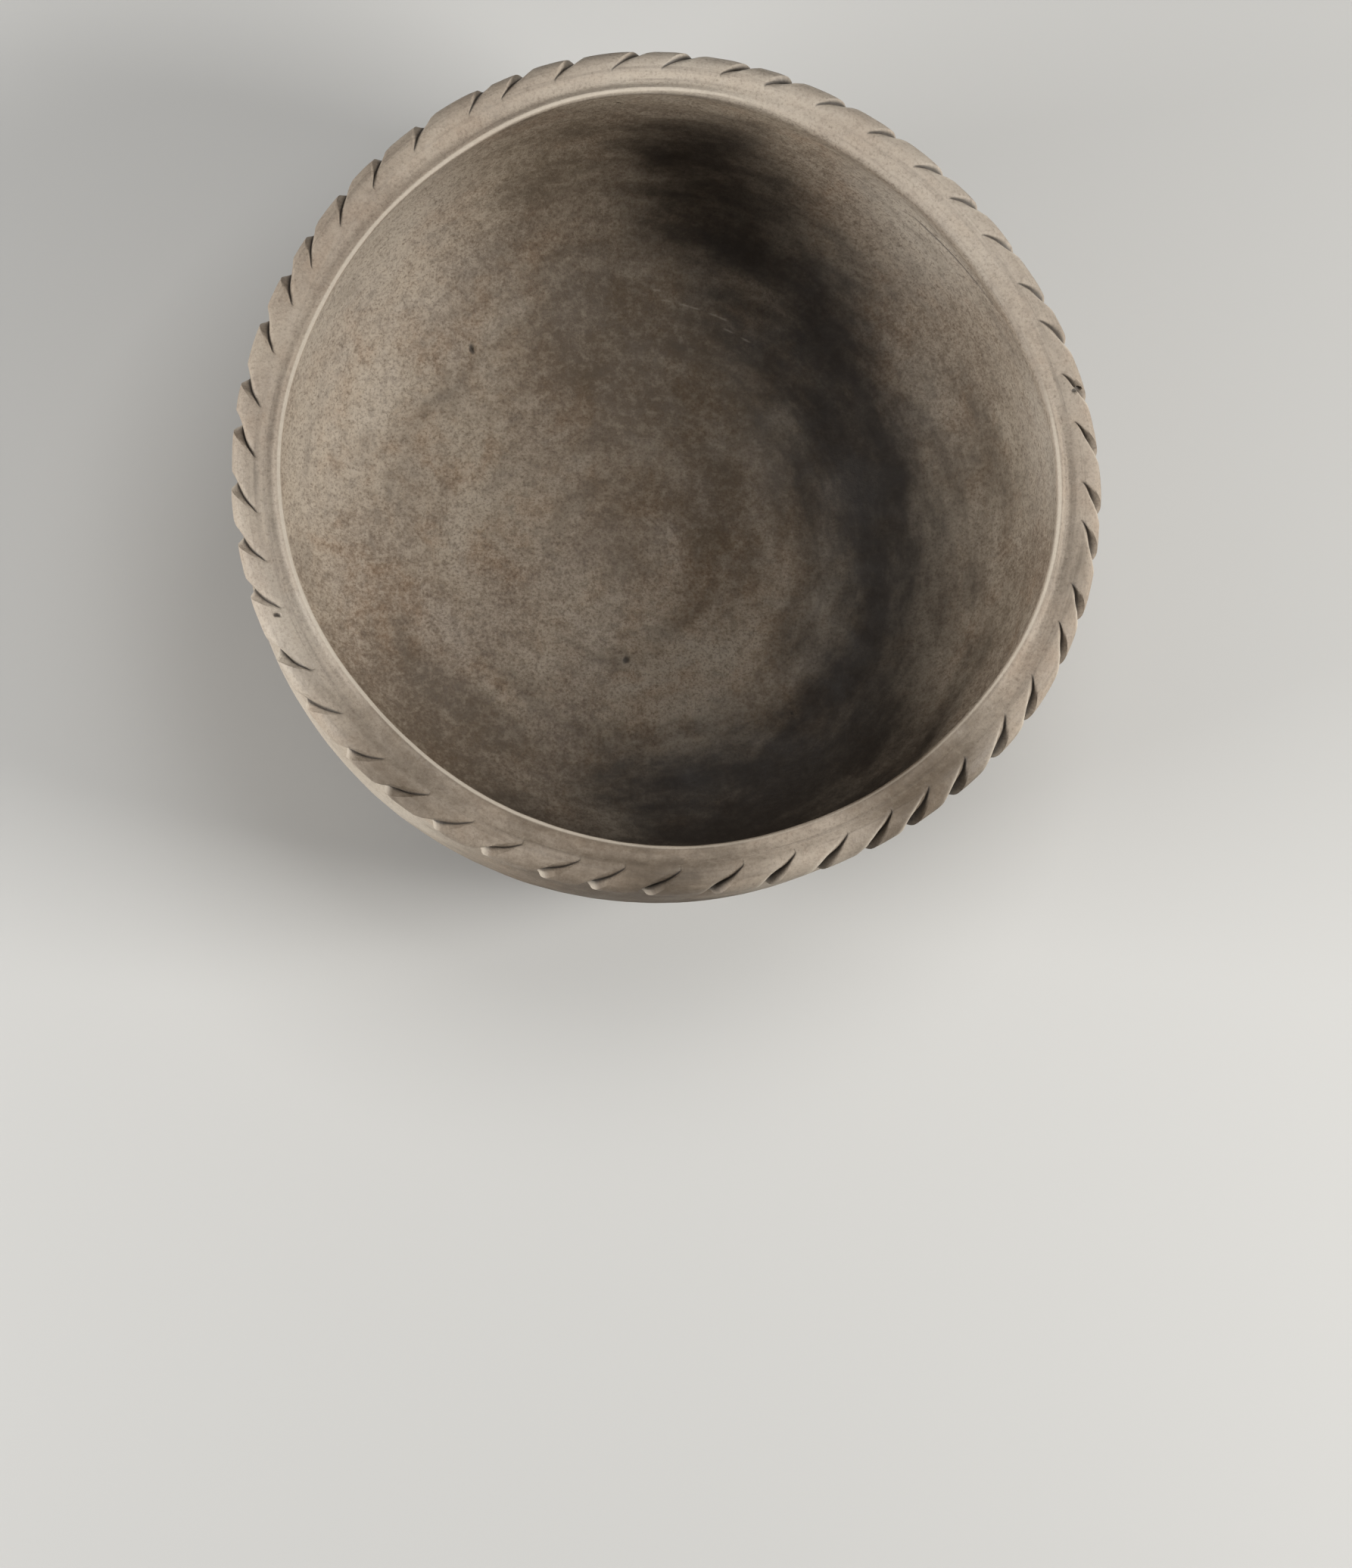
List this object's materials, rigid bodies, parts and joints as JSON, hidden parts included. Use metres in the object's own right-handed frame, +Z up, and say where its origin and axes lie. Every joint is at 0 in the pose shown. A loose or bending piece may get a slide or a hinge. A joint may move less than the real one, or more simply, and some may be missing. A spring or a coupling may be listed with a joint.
{
  "type": "bowl",
  "caption": "Round-bodied clay bowl with nearly upright walls, a flattened round bottom and a rolled rim notched obliquely all the way round like a twisted cord.",
  "frame": {"origin": "middle of the flattened base, on the surface that the bowl stands on", "axes": "+Z up along the bowl's axis out of its mouth; -Y is the side shown in the picture's lower view, +X to its right"},
  "size_m": [0.3069, 0.3053, 0.1144],
  "materials": {
    "fired_clay": "burnished low-fired earthenware, grey-brown with dark fire clouds, matte"
  },
  "bodies": {
    "root": {"bowl": "fired_clay"}
  },
  "joints": []
}
